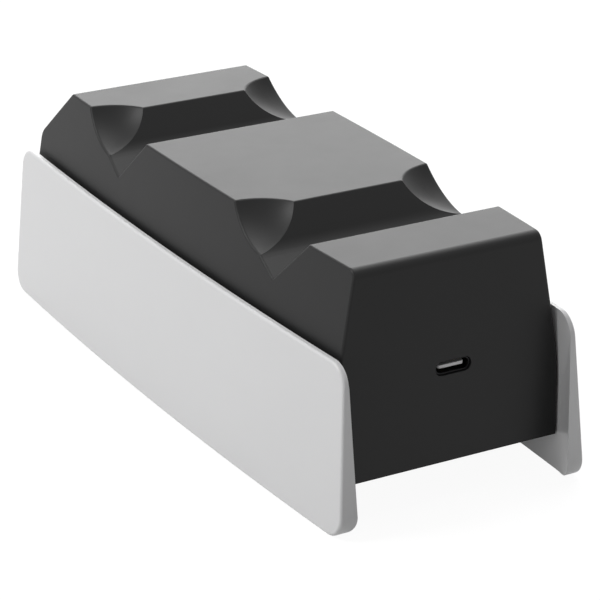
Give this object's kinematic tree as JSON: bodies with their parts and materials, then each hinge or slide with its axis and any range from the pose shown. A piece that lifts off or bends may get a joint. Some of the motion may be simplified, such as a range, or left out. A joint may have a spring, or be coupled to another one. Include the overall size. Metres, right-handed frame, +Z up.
{
  "type": "controller charging dock",
  "caption": "Long desk dock with a black body between two bowed white side panels: V-shaped bays with flared rear walls hold game controllers on charging contacts.",
  "frame": {"origin": "on the table under the middle of the dock's bounding box", "axes": "+X across the dock, +Y along it with the power socket at the -Y end, +Z up"},
  "size_m": [0.0692, 0.1692, 0.0588],
  "materials": {
    "black_housing": "fine moulded texture, satin black",
    "black_cover": "moulded, matte black",
    "white_panel": "smooth moulded, satin white",
    "grip_rubber": "soft matte grey-black",
    "screw_steel": "plated steel",
    "circuit_board": "green lacquered board",
    "shell_steel": "drawn steel, darkened",
    "dark_insulator": "moulded grey insulator",
    "gold_contact": "gold plated",
    "black_block": "moulded, matte black",
    "light_body": "pale encapsulated lamp",
    "clear_lens": "frosted clear moulding",
    "chip_black": "black epoxy",
    "tin": "tinned, dull bright",
    "coil_grey": "dark grey ferrite",
    "can_aluminium": "drawn can",
    "ceramic_tan": "tan ceramic",
    "black_lead": "flexible insulation",
    "red_lead": "flexible insulation",
    "white_lead": "flexible insulation"
  },
  "bodies": {
    "root": {"base_cover": "black_cover", "board_screws": "screw_steel", "body_housing": "black_housing", "can_capacitors": "can_aluminium", "ceramic_capacitors": "ceramic_tan", "charge_chips": "chip_black", "charge_lights": "light_body", "chip_legs": "tin", "contact_screws": "screw_steel", "cover_screws": "screw_steel", "far_bay_black_lead": "black_lead", "far_bay_red_lead": "red_lead", "far_contact_block": "black_block", "far_contact_board": "circuit_board", "far_terminals": "gold_contact", "indicator_board": "circuit_board", "indicator_leads": "white_lead", "indicator_screws": "screw_steel", "left_grip_strip": "grip_rubber", "left_side_panel": "white_panel", "light_pipes": "clear_lens", "main_board": "circuit_board", "near_bay_black_lead": "black_lead", "near_bay_red_lead": "red_lead", "near_contact_block": "black_block", "near_contact_board": "circuit_board", "near_terminals": "gold_contact", "panel_screws": "screw_steel", "power_coils": "coil_grey", "resistors": "chip_black", "right_grip_strip": "grip_rubber", "right_side_panel": "white_panel", "socket_contacts": "gold_contact", "socket_insulator": "dark_insulator", "socket_shell": "shell_steel", "solder_joints": "tin"}
  },
  "joints": []
}
